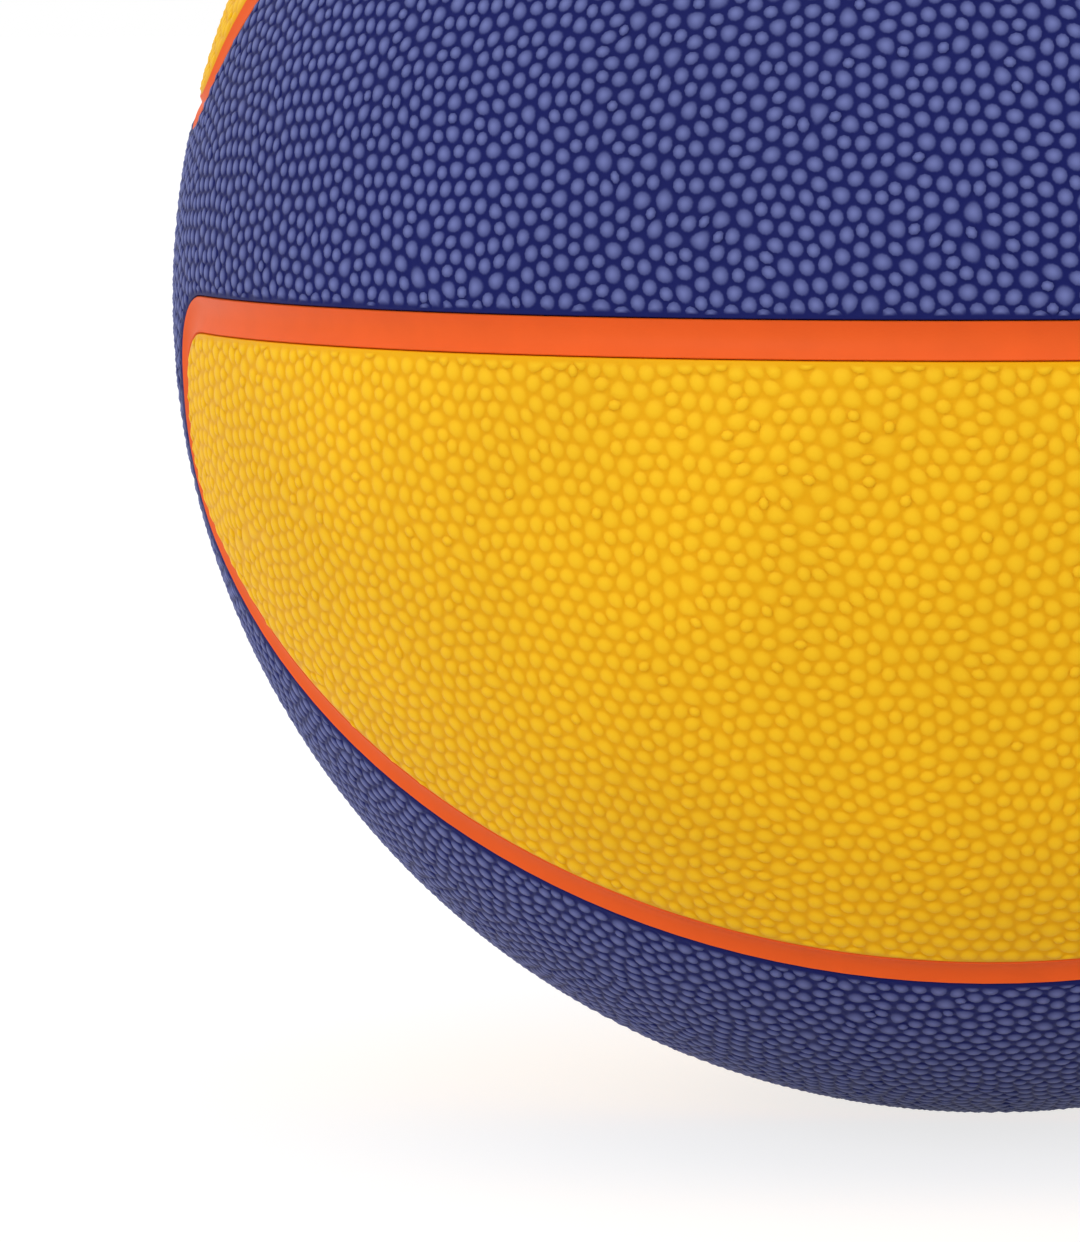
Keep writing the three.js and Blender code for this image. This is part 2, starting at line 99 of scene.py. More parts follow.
class BallSizes(PropertyGroup):
    """Sizes of the ball, along its surface unless said otherwise."""

    diameter: length("Ball diameter", "Across the tops of the pebbles", BALL_DIAMETER)
    island_width: length("Yellow width", "Between a yellow panel's long channels, at its middle", 96.1)
    front_blue_share: FloatProperty(
        name="Front blue share",
        description="Of the width that the yellow panels leave; top and bottom take the rest",
        default=0.58,
        min=0.3,
        max=0.7,
        subtype="FACTOR",
    )
    hub_radius: length("Hub radius", "From a hub's centre to the channel at a yellow panel's end", 31)
    corner_radius: length("Corner radius", "Of the channel's middle line", 14)
    channel_width: length("Channel width", "Between the edges of two panels", 5.2)
    floor_depth: length("Floor depth", "Of the channel's middle, below the pebbles", 1.3)
    side_depth: length("Side depth", "Of the channel's sides, below the pebbles", 0.4)
    strip_gap: length("Strip gap", "Between the channel's strip and the panels", 0.12)
    cover_thickness: length("Cover thickness", "Of the leather with its pebbles", 1.6)
    foam_gap: length("Foam gap", "Between the leather and the foam", 0.3)
    foam_thickness: length("Foam thickness", "Of the sponge under the leather", 1.8)
    lip: length("Lip", "Smooth rolled edge beside a channel", 0.2)
    butt_lip: length("Butt lip", "Rolled edge where two blue panels butt", 0.3)
    butt_gap: length("Butt gap", "Between two blue panels in a hub", 0.3)
    pebble_pitch: length("Pebble pitch", "Between the middles of two pebbles", 2.4)
    pebble_height: length("Pebble height", "From groove to top", 0.4)
    neck_hole: length("Valve hole", "Diameter of the hole in the cover", 9)
    neck: length("Valve neck", "Diameter of the valve's rubber neck", 8.4)
    flange: length("Valve flange", "Diameter of the flange inside the bladder", 30)
    valve_body: length("Valve body", "Diameter of the valve inside the ball", 12)
    plug_head: length("Plug head", "Diameter of the plug's head", 5.4)
    plug_shank: length("Plug shank", "Diameter of the plug's shank", 3.8)
    plug_gap: length("Plug gap", "Between the plug and the valve", 0.3)
    needle_hole: length("Needle hole", "Diameter of the hole for the needle", 1.2)
    valve_rounding: length("Valve rounding", "Radius of the edges of the valve and its plug", 0.3)
    pebble_seed: IntProperty(name="Pebble seed", description="Scatter of the pebbles", default=7, min=0)


class BallColours(PropertyGroup):
    """Colours of the ball's finishes, with painted light on the pebbles' tops and painted shade in
    their grooves.
    """

    # Top colours: the leather's paint lightened by painted light, a painted sheen on the blue. Groove
    # colours: the same paint darkened by painted shade.
    yellow_top_painted_light: colour("Yellow tops", "Tops of the yellow pebbles", "FFC81E")
    yellow_groove_painted_shade: colour("Yellow grooves", "Grooves between the yellow pebbles", "F2B004")
    blue_top_painted_sheen: colour("Blue tops", "Tops of the blue pebbles", "6E76B0")
    blue_groove_painted_shade: colour("Blue grooves", "Grooves between the blue pebbles", "151B5E")
    channel: colour("Channel", "Rubber of the channels", "F2601A")
    foam: colour("Foam", "Sponge under the leather", "D8D4CA")
    valve: colour("Valve", "Rubber of the valve", "1B1B1E")
    plug: colour("Plug", "Rubber of the valve's plug", "26262B")
    floor: colour("Floor", "Paper floor of the studio", "E4E4E4")
    floor_shade: colour("Floor shade", "How far the floor's shadows show", "A0A0A0")


# Selecting and reading meshes


def read(parts, name, kind=int, width=1):
    """What each vertex, edge, face or loop holds, as one number or a row of them."""
    values = np.empty(len(parts) * width, dtype=kind)
    parts.foreach_get(name, values)
    return values.reshape(-1, width) if width > 1 else values


def places(obj):
    """Coordinates of an object's vertices."""
    return read(obj.data.vertices, "co", float, 3)


def put(obj, points):
    """Moves an object's vertices to points."""
    obj.data.vertices.foreach_set("co", np.ascontiguousarray(points, dtype=np.float32).ravel())
    obj.data.update()


def centres(obj):
    """Middles of an object's faces."""
    return read(obj.data.polygons, "center", float, 3)


def choose(obj, kind, mask):
    """Goes into edit mode with only the masked faces, edges or vertices selected."""
    bpy.ops.object.mode_set(mode="EDIT")
    bpy.ops.mesh.select_mode(type=kind)
    bpy.ops.mesh.select_all(action="DESELECT")
    bpy.ops.object.mode_set(mode="OBJECT")
    parts = {"FACE": obj.data.polygons, "EDGE": obj.data.edges, "VERT": obj.data.vertices}[kind]
    parts.foreach_set("select", np.ascontiguousarray(mask, dtype=bool))
    bpy.ops.object.mode_set(mode="EDIT")


def all_of(parts):
    """Mask of every face, edge or vertex."""
    return np.ones(len(parts), dtype=bool)


def drop_faces(obj, mask):
    """Deletes the masked faces."""
    choose(obj, "FACE", mask)
    bpy.ops.mesh.delete(type="FACE")
    bpy.ops.object.mode_set(mode="OBJECT")


def face_outward():
    """Turns every face of the piece in hand outward."""
    bpy.ops.object.mode_set(mode="EDIT")
    bpy.ops.mesh.select_all(action="SELECT")
    bpy.ops.mesh.normals_make_consistent(inside=False)
    bpy.ops.object.mode_set(mode="OBJECT")


def chosen_faces(obj):
    """Leaves edit mode and tells which faces are selected."""
    bpy.ops.object.mode_set(mode="OBJECT")
    return read(obj.data.polygons, "select", bool)


def corners_of(obj, faces):
    """Vertices of the masked faces, corner by corner, and where each face starts among them."""
    corners = read(obj.data.loops, "vertex_index")
    counts = read(obj.data.polygons, "loop_total")
    kept = corners[np.repeat(faces, counts)]
    starts = np.concatenate([[0], np.cumsum(counts[faces])[:-1]])
    return kept, starts, counts[faces]


def edge_ends(obj):
    """Vertices at both ends of an object's edges."""
    return read(obj.data.edges, "vertices", int, 2)


def rim_vertices(obj, faces):
    """Mask of the vertices round the outside of the masked faces."""
    counts = read(obj.data.polygons, "loop_total")
    edges = read(obj.data.loops, "edge_index")[np.repeat(faces, counts)]
    used = np.bincount(edges, minlength=len(obj.data.edges))
    rim = np.zeros(len(obj.data.vertices), dtype=bool)
    rim[edge_ends(obj)[used == 1]] = True
    return rim


def start_piece(name):
    """The new primitive as the only selected object, under its own name."""
    obj = bpy.context.object
    obj.name = obj.data.name = name
    return obj


def finish_piece(obj, name, material, slot, body, *nodes):
    """Names a finished piece and ties it to the solid model."""
    obj.name = obj.data.name = name
    obj.data.materials.clear()
    obj.data.materials.append(material)
    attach(obj, body)
    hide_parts(*nodes)


def duplicate(obj):
    """A copy of an object with its own mesh, as the only selected object."""
    bpy.ops.object.select_all(action="DESELECT")
    bpy.context.view_layer.objects.active = obj
    obj.select_set(True)
    bpy.ops.object.duplicate(linked=False)
    return bpy.context.object


def copy_to_places(obj, turns):
    """Copies of a piece, turned about the hub axis to the places given, in place of the piece."""
    copies = {}
    for place, turn in turns.items():
        copies[place] = duplicate(obj)
        copies[place].rotation_euler.x = -turn
        bpy.ops.object.transform_apply(location=False, rotation=True, scale=False)
    bpy.data.objects.remove(obj)
    return copies


# Layout of the cover

SIDE, END, BEND = range(3)  # parts of the channel round a yellow panel
YELLOW, BLUE = 1, -1  # the panel inside a channel and the panels outside it
NO_LENGTH = 1e-9  # least length that a way along the surface is divided by


def direction(from_hub, turn):
    """Unit vector at an angle from the hub on +X and a turn about the hub axis, from the front up."""
    reach = math.sin(from_hub)
    return np.array([math.cos(from_hub), -reach * math.cos(turn), reach * math.sin(turn)])


def turned(points, turn):
    """Points carried round the hub axis, from the front towards the top."""
    x, y, z = np.asarray(points, dtype=float).T
    c, s = math.cos(turn), math.sin(turn)
    return np.stack([x, y * c + z * s, z * c - y * s], axis=-1)


def unit(points):
    """Points brought to a distance of one from the ball's centre."""
    return points / np.linalg.norm(points, axis=-1, keepdims=True)


def along_surface(points, ways):
    """Unit vectors along the ball's surface at the points, which head the given ways."""
    at = unit(points)
    flat = ways - at * np.sum(ways * at, axis=1, keepdims=True)
    return flat / np.maximum(np.linalg.norm(flat, axis=1, keepdims=True), NO_LENGTH)


def slid(points, ways, distances):
    """Points moved along the ball's surface."""
    radius = np.linalg.norm(points, axis=1, keepdims=True)
    angle = np.asarray(distances)[..., None] / radius
    return points * np.cos(angle) + ways * radius * np.sin(angle)


def island_half(sizes):
    """Half the turn that a yellow panel takes up."""
    return sizes.island_width / sizes.diameter


def places_round(sizes):
    """The turn of each place's upper channel and half the turn of the blue panel above it."""
    left = math.pi / 2 - 2 * island_half(sizes)
    front = left * sizes.front_blue_share
    top_turn = 2 * (front + island_half(sizes))
    return {
        "front": (0, front),
        "top": (top_turn, left - front),
        "back": (math.pi, front),
        "bottom": (math.pi + top_turn, left - front),
    }


def stretch_number(part, left, low):
    """Number of a stretch of a channel's edge, from its part and the quarter of the ring it lies in."""
    return 4 * part + 2 * left + low


class ChannelEdge:
    """Edge of a panel beside the channel that rings the yellow panel at a turn."""

    def __init__(self, sizes, turn, panel, from_line, lip):
        self.turn, self.panel, self.lip = turn, panel, lip
        self.radius = sizes.diameter / 2
        self.cut = -panel * (from_line + lip) / self.radius
        self.half = island_half(sizes)
        self.hub = sizes.hub_radius / self.radius
        self.bend = sizes.corner_radius / self.radius
        self.bend_from_hub = self.hub + self.bend
        self.bend_turn = self.half - math.asin(math.sin(self.bend) / math.sin(self.bend_from_hub))
        self.centre = direction(self.bend_from_hub, self.bend_turn)
        self.sideways = direction(math.pi / 2, self.half + math.pi / 2)
        self.middle = direction(math.pi / 2, self.half)
        self.edge_start = math.atan2(self.centre @ self.middle, self.centre[0])
        self.ways = np.array([self.sideways, [1, 0, 0], -self.centre])

    def measure(self, points):
        """How far points lie inside the edge, the way out there and the nearest stretch of it."""
        local = unit(turned(points, -self.turn))
        flips = np.where(local < 0, -1, 1)
        flips[:, 1] = 1
        near = local * flips
        to_side = np.arcsin(near @ self.sideways)
        to_end = self.hub - np.arccos(np.clip(near[:, 0], -1, 1))
        to_bend = np.arccos(np.clip(near @ self.centre, -1, 1)) - self.bend
        by_side = np.arctan2(near @ self.middle, near[:, 0]) > self.edge_start
        by_end = np.arctan2(near[:, 2], -near[:, 1]) < self.bend_turn
        part = np.where(by_side & ~(by_end & (to_end > to_side)), SIDE, np.where(by_end, END, BEND))
        outward = np.choose(part, [to_side, to_end, to_bend])
        inside = self.panel * (self.cut - outward) * self.radius
        ways = turned(along_surface(near, self.ways[part]) * flips, self.turn) * self.panel
        left = (part != SIDE) & (flips[:, 0] < 0)
        low = (part != END) & (flips[:, 2] < 0)
        return inside, ways, stretch_number(part, left, low)

    def planes(self):
        """The plane that cuts the ball along each stretch: its number, a point and a normal."""
        heights = [math.sin(self.cut), math.cos(self.hub - self.cut), -math.cos(self.bend + self.cut)]
        for part, xs, zs in ((SIDE, (1,), (1, -1)), (END, (1, -1), (1,)), (BEND, (1, -1), (1, -1))):
            for x in xs:
                for z in zs:
                    normal = turned(self.ways[part] * (x, 1, z), self.turn)
                    at = normal * heights[part] * self.radius
                    yield stretch_number(part, x < 0, z < 0), at, normal

    def path(self, corner_steps, edge_steps, end_steps):
        """Points once round the channel's middle line, with the way out of the yellow panel at each."""
        to_hub = along_surface(self.centre[None], np.array([[1.0, 0, 0]]))[0]
        to_side = along_surface(self.centre[None], self.sideways[None])[0]
        sweep = math.acos(to_hub @ to_side)
        shares = np.arange(corner_steps + 1) / corner_steps * sweep
        towards = unit(np.outer(np.sin(sweep - shares), to_hub) + np.outer(np.sin(shares), to_side))
        corner = self.centre * math.cos(self.bend) + towards * math.sin(self.bend)
        start = math.acos(corner[-1][0])
        fan = np.linspace(start, math.pi - start, edge_steps + 1)[1:-1]
        edge = np.array([direction(angle, self.half) for angle in fan])
        upper = np.concatenate([corner, edge, corner[::-1] * (-1, 1, 1)])
        tip = math.atan2(corner[0][2], -corner[0][1])
        turns = np.linspace(tip, -tip, end_steps + 1)[1:-1]
        far = np.array([direction(math.pi - self.hub, turn) for turn in turns])
        lower = upper[::-1] * (1, 1, -1)
        line = np.concatenate([upper, far, lower, far[::-1] * (-1, 1, 1)]) * self.radius
        return line, self.measure(line)[1] * self.panel


class RingEdge:
    """Edge of a panel along the ring where a plane meets the ball. The panel lies below the plane."""

    def __init__(self, radius, normal, height, lip):
        self.radius, self.normal, self.height, self.lip = radius, np.asarray(normal), height, lip

    def measure(self, points):
        """How far points lie inside the edge, the way out there and the nearest stretch of it."""
        outward = np.arcsin(np.clip(unit(points) @ self.normal, -1, 1))
        inside = (math.asin(self.height / self.radius) - outward) * self.radius
        ways = along_surface(points, np.broadcast_to(self.normal, points.shape))
        return inside, ways, np.zeros(len(points), dtype=int)

    def planes(self):
        """The plane that cuts the ball along the edge."""
        yield 0, self.normal * self.height, self.normal


def yellow_cuts(sizes, lip):
    """The edge of a yellow panel at the front and the turns that its copies take."""
    edges = [ChannelEdge(sizes, 0, YELLOW, sizes.channel_width / 2, lip)]
    turns = {place: turn - island_half(sizes) for place, (turn, _) in places_round(sizes).items()}
    yield edges, turns


def blue_cuts(sizes, lip, butt_lip):
    """The edges of each shape of blue panel at the front, with the turns that its copies take."""
    radius = sizes.diameter / 2
    layout = places_round(sizes)
    for group in (("front",), ("top", "bottom"), ("back",)):
        half = layout[group[0]][1]
        meeting = half + island_half(sizes)
        edges = []
        for side in (1, -1):
            across = direction(math.pi / 2, meeting + math.pi / 2) * (1, 1, side)
            edges.append(ChannelEdge(sizes, side * meeting, BLUE, sizes.channel_width / 2, lip))
            edges.append(RingEdge(radius, across, -sizes.butt_gap / 2 - butt_lip, butt_lip))
        if VALVE_PLACE in group:
            hole = (sizes.neck_hole / 2 + lip) / radius
            edges.append(RingEdge(radius, direction(math.pi / 2, 0), radius * math.cos(hole), lip))
        yield edges, {place: layout[place][0] + half for place in group}


# Pebbled leather

SHEET_FINENESS = 5  # of the plain ball that the pebbles are scattered on
SCATTER_CLOSENESS = 0.79  # least distance of two scattered points, in pitches
SCATTER_TRIES = 20  # points tried for each pebble
EASING_ROUNDS = 20  # each joins the pebbles to their new neighbours and evens out their distances
EASING_REACH = 1.4  # distance, in pitches, at which two pebbles stop pushing each other away
EASING_PUSH = 0.3  # of the way apart that two pebbles lack, in each round
SLIVER = 0.1 * MM  # cells' corners closer than this become one
ON_EDGE = 0.3 * MM  # corners closer to an edge than this lie on it
TRIM_MARGIN = 5 * MM  # cells further outside an edge than this are cut away first


def apply_geometry_nodes(obj, kinds, values=None):
    """Runs an object's mesh through a chain of geometry nodes. The values go to the first node."""
    tree = bpy.data.node_groups.new("Leather", "GeometryNodeTree")
    for way in ("INPUT", "OUTPUT"):
        tree.interface.new_socket(name="Geometry", in_out=way, socket_type="NodeSocketGeometry")
    last = tree.nodes.new("NodeGroupInput").outputs[0]
    for kind in kinds:
        step = tree.nodes.new(kind)
        if kind == "GeometryNodeDistributePointsOnFaces":
            step.distribute_method = "POISSON"
            for socket, value in values.items():
                step.inputs[socket].default_value = value
        tree.links.new(last, step.inputs[0])
        last = step.outputs[0]
    tree.links.new(last, tree.nodes.new("NodeGroupOutput").inputs[0])
    apply_modifier(obj, "Leather", "NODES", node_group=tree)
    bpy.data.node_groups.remove(tree)


def apply_modifier(obj, name, kind, **settings):
    """Adds a modifier with its settings and applies it."""
    modifier = obj.modifiers.new(name, kind)
    for setting, value in settings.items():
        setattr(modifier, setting, value)
    bpy.ops.object.modifier_apply(modifier=modifier.name)


def ease(sheet, radius, pitch):
    """Pushes joined points of a sheet apart, so that crowded ones spread out over the ball."""
    points, ends = places(sheet), edge_ends(sheet)
    gap = points[ends[:, 1]] - points[ends[:, 0]]
    distance = np.linalg.norm(gap, axis=1, keepdims=True)
    push = gap * EASING_PUSH * np.maximum(pitch * EASING_REACH / distance - 1, 0)
    np.add.at(points, ends[:, 1], push)
    np.add.at(points, ends[:, 0], -push)
    put(sheet, unit(points) * radius)


def pebble_sheet(radius, pitch, seed):
    """A ball of embossed leather with one face for each pebble, scattered as evenly as grain grows."""
    bpy.ops.object.select_all(action="DESELECT")
    bpy.ops.mesh.primitive_ico_sphere_add(subdivisions=SHEET_FINENESS, radius=radius)
    sheet = start_piece("leather_sheet")
    round_up = {"cast_type": "SPHERE", "factor": 1, "use_radius_as_size": False, "size": radius}
    scatter = {
        "Distance Min": pitch * SCATTER_CLOSENESS,
        "Density Max": SCATTER_TRIES / pitch**2,
        "Seed": seed,
    }
    apply_geometry_nodes(
        sheet, ("GeometryNodeDistributePointsOnFaces", "GeometryNodePointsToVertices"), scatter
    )
    apply_modifier(sheet, "Round", "CAST", **round_up)
    for _ in range(EASING_ROUNDS):
        apply_geometry_nodes(sheet, ("GeometryNodeConvexHull",))
        ease(sheet, radius, pitch)
    apply_geometry_nodes(sheet, ("GeometryNodeConvexHull", "GeometryNodeDualMesh"))
    apply_modifier(sheet, "Round", "CAST", **round_up)
    return sheet


def cut_panel(sheet, edges):
    """Cuts a panel out of the sheet along its edges, with one plane for each stretch of an edge."""
    for edge in edges:
        drop_faces(sheet, edge.measure(centres(sheet))[0] < -TRIM_MARGIN)
    for edge in edges:
        # Twice, as a cut beside a cell can carry its middle from one stretch to the next
        for number, at, normal in 2 * list(edge.planes()):
            inside = edge.measure(places(sheet))[0]
            corners, starts, _ = corners_of(sheet, all_of(sheet.data.polygons))
            lowest = np.minimum.reduceat(inside[corners], starts)
            highest = np.maximum.reduceat(inside[corners], starts)
            stretch = edge.measure(centres(sheet))[2]
            crossed = (lowest < -ON_EDGE) & (highest > ON_EDGE)
            choose(sheet, "FACE", crossed & (stretch == number))
            steepness = math.sqrt(1 - at @ at / edge.radius**2)
            bpy.ops.mesh.bisect(plane_co=at, plane_no=normal, threshold=SLIVER * steepness)
            bpy.ops.object.mode_set(mode="OBJECT")
        drop_faces(sheet, edge.measure(centres(sheet))[0] < 0)
    choose(sheet, "VERT", all_of(sheet.data.vertices))
    bpy.ops.mesh.remove_doubles(threshold=SLIVER)
    bpy.ops.object.mode_set(mode="OBJECT")
    points = places(sheet)
    rim = rim_vertices(sheet, all_of(sheet.data.polygons))
    for edge in edges:
        inside, ways, _ = edge.measure(points)
        on = rim & (np.abs(inside) < ON_EDGE)
        points[on] = slid(points[on], ways[on], inside[on])
    put(sheet, points)


def roll_rim(panel, edges, radius, rings, groove):
    """Makes the cut sheet a closed panel, from its underside up, and tells which faces are its top.

    Each ring of the rim takes one extrusion. It is a share of the lip that the ring reaches out and
    its depth below the pebbles."""
    skin = all_of(panel.data.polygons)
    reached = 0
    for step, (share, depth) in enumerate((*rings, (0, groove))):
        if step:
            choose(panel, "FACE", skin)
            bpy.ops.mesh.extrude_region()
            skin = chosen_faces(panel)
        points = places(panel)
        rim = rim_vertices(panel, skin)
        for edge in edges:
            inside, ways, _ = edge.measure(points)
            on = rim & (np.abs(inside + reached * edge.lip) < ON_EDGE)
            points[on] = slid(points[on], ways[on], np.full(on.sum(), (share - reached) * edge.lip))
        reached = share
        moving = np.unique(corners_of(panel, skin)[0])
        points[moving] = unit(points[moving]) * (radius - depth)
        put(panel, points)
    face_outward()
    return skin


CORNER_CUT = 27  # per cent of an edge of a cell that rounding its corners takes
SMALLEST_PEBBLE = 0.32  # of a whole cell
TOP_MARGIN = 0.25  # of the pebbles' height, within which a face counts to the panel's top
RING_STEP = 0.02 * MM  # first width of the ring round a crown, before it takes its place
DOME_SHARE = 0.7  # width of a pebble's crown, of its cell
DOME_EVENNESS = 0.75  # how far the crowns come to one width
DOME_ROUNDNESS = 0.6  # how far a crown comes from the outline of its cell to a circle
DOME_REACH = 0.92  # of the way to its cell's outline that a crown may reach
DOME_CROWN = 0.45  # of the pebble's height that its crown takes
EDGE_EASE = 0.8 * MM  # width beside an edge over which the pebbles sink towards it


def raise_pebbles(panel, edges, skin, radius, pitch, height):
    """Raises a round dome on each cell of the panel's top that is large enough for a pebble."""
    on_top = np.zeros(len(panel.data.vertices), dtype=bool)
    on_top[corners_of(panel, skin)[0]] = True
    choose(panel, "VERT", on_top & ~rim_vertices(panel, skin))
    bpy.ops.mesh.bevel(affect="VERTICES", offset_type="PERCENT", offset_pct=CORNER_CUT, segments=1)
    bpy.ops.object.mode_set(mode="OBJECT")
    cell = math.sqrt(3) / 2 * pitch**2  # area of a regular hexagon, which the cells come close to
    area = read(panel.data.polygons, "area", float)
    level = np.linalg.norm(centres(panel), axis=1)
    tops = np.abs(level - (radius - height)) < height * TOP_MARGIN
    choose(panel, "FACE", tops & (area > SMALLEST_PEBBLE * cell))
    bpy.ops.mesh.inset(use_individual=True, thickness=RING_STEP, depth=0)
    domes = chosen_faces(panel)
    points = places(panel)
    corners, starts, counts = corners_of(panel, domes)
    middle = np.repeat(np.add.reduceat(points[corners], starts) / counts[:, None], counts, axis=0)
    spoke = points[corners] - middle
    reach = np.linalg.norm(spoke, axis=1)
    mean = np.repeat(np.add.reduceat(reach, starts) / counts, counts)
    mean += (mean.mean() - mean) * DOME_EVENNESS
    wanted = DOME_SHARE * (reach * (1 - DOME_ROUNDNESS) + mean * DOME_ROUNDNESS)
    wanted = np.minimum(wanted, reach * DOME_REACH)
    ring = middle + spoke * (wanted / reach)[:, None]
    crown = DOME_CROWN * height
    inside = np.min([edge.measure(ring)[0] for edge in edges], axis=0)
    rise = np.clip(inside / EDGE_EASE, 0, 1) * (height - crown)
    points[corners] = unit(ring) * (radius - height + rise)[:, None]
    put(panel, points)
    choose(panel, "FACE", domes)
    bpy.ops.mesh.poke(offset=crown)
    bpy.ops.object.mode_set(mode="OBJECT")
    bpy.ops.object.shade_smooth()


# Shares of the lip and of the fall from the grooves to the underside
RIM_ROLL = ((1, 1), (1, 0.45), (0.85, 0.2), (0.5, 0.05))


def model_panel(sizes, sheet, edges):
    """One finished panel from a sheet of leather, whose rim rolls down from the grooves."""
    radius, groove = sizes.diameter / 2, sizes.pebble_height
    fall = sizes.cover_thickness - groove
    rings = [(out, groove + fall * down) for out, down in RIM_ROLL]
    panel = duplicate(sheet)
    cut_panel(panel, edges)
    skin = roll_rim(panel, edges, radius, rings, groove)
    raise_pebbles(panel, edges, skin, radius, sizes.pebble_pitch, groove)
    return panel


FOAM_CELL = 2.5 * MM  # of the mesh, coarser than the sponge's own cells
FOAM_ROUNDING = 0.5 * MM
PAD_FOOT = 0.5  # of the rounding, by which the flat underside reaches out
PAD_SHOULDER = (0.7, FOAM_ROUNDING / 3)  # how far the rounded top's middle ring reaches out and down
SOFT_EDGE = math.radians(50)  # sharper edges of foam and strips stay sharp


def model_pad(sizes, sheet, edges):
    """One smooth pad of foam from a sheet of it, with rounded edges."""
    radius = sizes.diameter / 2
    top = sizes.cover_thickness + sizes.foam_gap
    bottom = top + sizes.foam_thickness
    out, down = PAD_SHOULDER
    rings = (
        (PAD_FOOT, bottom),
        (1, bottom - FOAM_ROUNDING),
        (1, top + FOAM_ROUNDING),
        (out, top + down),
    )
    pad = duplicate(sheet)
    cut_panel(pad, edges)
    roll_rim(pad, edges, radius, rings, top)
    bpy.ops.object.shade_smooth_by_angle(angle=SOFT_EDGE)
    return pad


# Valve

SPIN_STEPS = 64
ROUNDING_STEPS = 3
MERGE = 0.001 * MM  # corners closer than this are one, or lie on the axis
TURNED_EDGE = math.radians(40)  # sharper edges of turned pieces stay sharp
AT_RADIUS = 0.05 * MM  # how far from a radius a solid's corner still counts to it
FUNNEL = 0.5 * MM


def spun(name, profile, rounding):
    """A turned piece about +Z from a closed profile of radii and heights, with rounded edges."""
    bpy.ops.object.select_all(action="DESELECT")
    bpy.ops.mesh.primitive_circle_add(vertices=len(profile), fill_type="NGON")
    piece = start_piece(name)
    put(piece, np.array([(radius, 0, height) for radius, height in profile]))
    choose(piece, "VERT", places(piece)[:, 0] > MERGE)
    bpy.ops.mesh.bevel(affect="VERTICES", offset=rounding, segments=ROUNDING_STEPS)
    bpy.ops.mesh.select_all(action="SELECT")
    bpy.ops.mesh.delete(type="ONLY_FACE")
    bpy.ops.object.mode_set(mode="OBJECT")
    on_axis = places(piece)[:, 0] < MERGE
    choose(piece, "EDGE", on_axis[edge_ends(piece)].all(axis=1))
    bpy.ops.mesh.delete(type="EDGE")
    bpy.ops.mesh.select_all(action="SELECT")
    bpy.ops.mesh.spin(steps=SPIN_STEPS, angle=2 * math.pi, center=(0, 0, 0), axis=(0, 0, 1))
    bpy.ops.mesh.select_all(action="SELECT")
    bpy.ops.mesh.remove_doubles(threshold=MERGE)
    bpy.ops.object.mode_set(mode="OBJECT")
    face_outward()
    bpy.ops.object.shade_smooth_by_angle(angle=TURNED_EDGE)
    return piece


def along_valve(node, turn):
    """Distances from the valve axis and from the ball's centre of a solid's corners."""
    points = places(node)
    axis = direction(math.pi / 2, turn)
    height = points @ axis
    return np.linalg.norm(points - np.outer(height, axis), axis=1), height


def reach_at(node, turn, radius):
    """Lowest and highest corner of a solid at a distance from the valve axis."""
    out, height = along_valve(node, turn)
    there = height[np.abs(out - radius) < AT_RADIUS]
    return there.min(), there.max()


def housing_profile(sizes, node, turn):
    """Radii and heights of the valve's housing, with the heights that its solid has."""
    neck, flange, body = sizes.neck / 2, sizes.flange / 2, sizes.valve_body / 2
    head_hole = sizes.plug_head / 2 + sizes.plug_gap
    shank_hole = sizes.plug_shank / 2 + sizes.plug_gap
    neck_foot, face = reach_at(node, turn, neck)
    flange_back, flange_edge = reach_at(node, turn, flange)
    body_end = reach_at(node, turn, body)[0]
    seat = reach_at(node, turn, head_hole)[0]
    return (
        (head_hole, face),
        (neck, face),
        (neck, neck_foot),
        (flange, flange_edge),
        (flange, flange_back),
        (body, flange_back),
        (body, body_end),
        (shank_hole, body_end),
        (shank_hole, seat),
        (head_hole, seat),
    )


def plug_profile(sizes, node, turn):
    """Radii and heights of the plug, whose needle hole opens in a funnel."""
    head, shank, needle = sizes.plug_head / 2, sizes.plug_shank / 2, sizes.needle_hole / 2
    head_back, face = reach_at(node, turn, head)
    needle_end = reach_at(node, turn, needle)[0]
    shank_end = reach_at(node, turn, shank)[0]
    return (
        (0, needle_end),
        (needle, needle_end),
        (needle, face - FUNNEL),
        (needle + FUNNEL, face),
        (head, face),
        (head, head_back),
        (shank, head_back),
        (shank, shank_end),
        (0, shank_end),
    )


# Materials

LEATHER_CLOUD, LEATHER_GRAIN = 30 * MM, 0.5 * MM  # width of the paint's patches and of its fine creases
RUBBER_CLOUD = 6 * MM  # width of the patches in moulded rubber
GRAIN_DEPTH = 0.05 * MM  # of the creases in leather and the grit on rubber
WAVE_RADIANS = 20  # that the wave texture runs through in one metre at a scale of 1
THREAD_WAYS = ((0.3, 0.2, 0), (1.2, -0.4, 0.9), (-0.7, 1.1, -0.5))  # turns of the winding's layers


def add_node(material, kind, links=None, values=None, **settings):
    """Adds a node to a material with its settings, its sockets' values and the links into them."""
    tree = material.node_tree
    made = tree.nodes.new(kind)
    for setting, value in settings.items():
        setattr(made, setting, value)
    for socket, value in (values or {}).items():
        made.inputs[socket].default_value = value
    for socket, source in (links or {}).items():
        tree.links.new(source, made.inputs[socket])
    return made


def start_material(name):
    """An empty material with the place of each point on its piece."""
    material = bpy.data.materials.new(name)
    material.use_nodes = True
    material.node_tree.nodes.clear()
    where = add_node(material, "ShaderNodeTexCoord").outputs["Object"]
    return material, where


